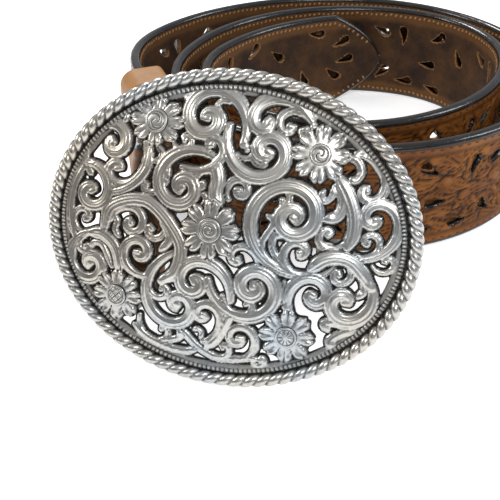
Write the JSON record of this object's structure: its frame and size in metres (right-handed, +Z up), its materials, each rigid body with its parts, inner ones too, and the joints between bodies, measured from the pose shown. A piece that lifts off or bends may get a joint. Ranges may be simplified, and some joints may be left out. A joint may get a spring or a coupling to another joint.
{
  "type": "western tooled belt",
  "caption": "Pierced and tooled leather belt, rolled up on its edge, with a large oval filigree buckle leaning in front.",
  "frame": {"origin": "under the middle of the whole belt as it stands, on the surface that it stands on", "axes": "+Z up, along the strap's width; -Y towards the buckle's face; +X to the buckle's right as seen from in front"},
  "size_m": [0.1584, 0.1946, 0.07],
  "materials": {
    "strap_leather": "tooled floral face in orange brown, dark painted edges, brown suede lining",
    "antique_silver": "antique silver plate, blackened in the recesses",
    "keeper_leather": "natural tan, waxed",
    "snap_metal": "satin"
  },
  "bodies": {
    "root": {"leather_strap": "strap_leather", "buckle": "antique_silver", "keeper_loop": "keeper_leather", "fold_snap_1": "snap_metal", "fold_snap_2": "snap_metal"}
  },
  "joints": []
}
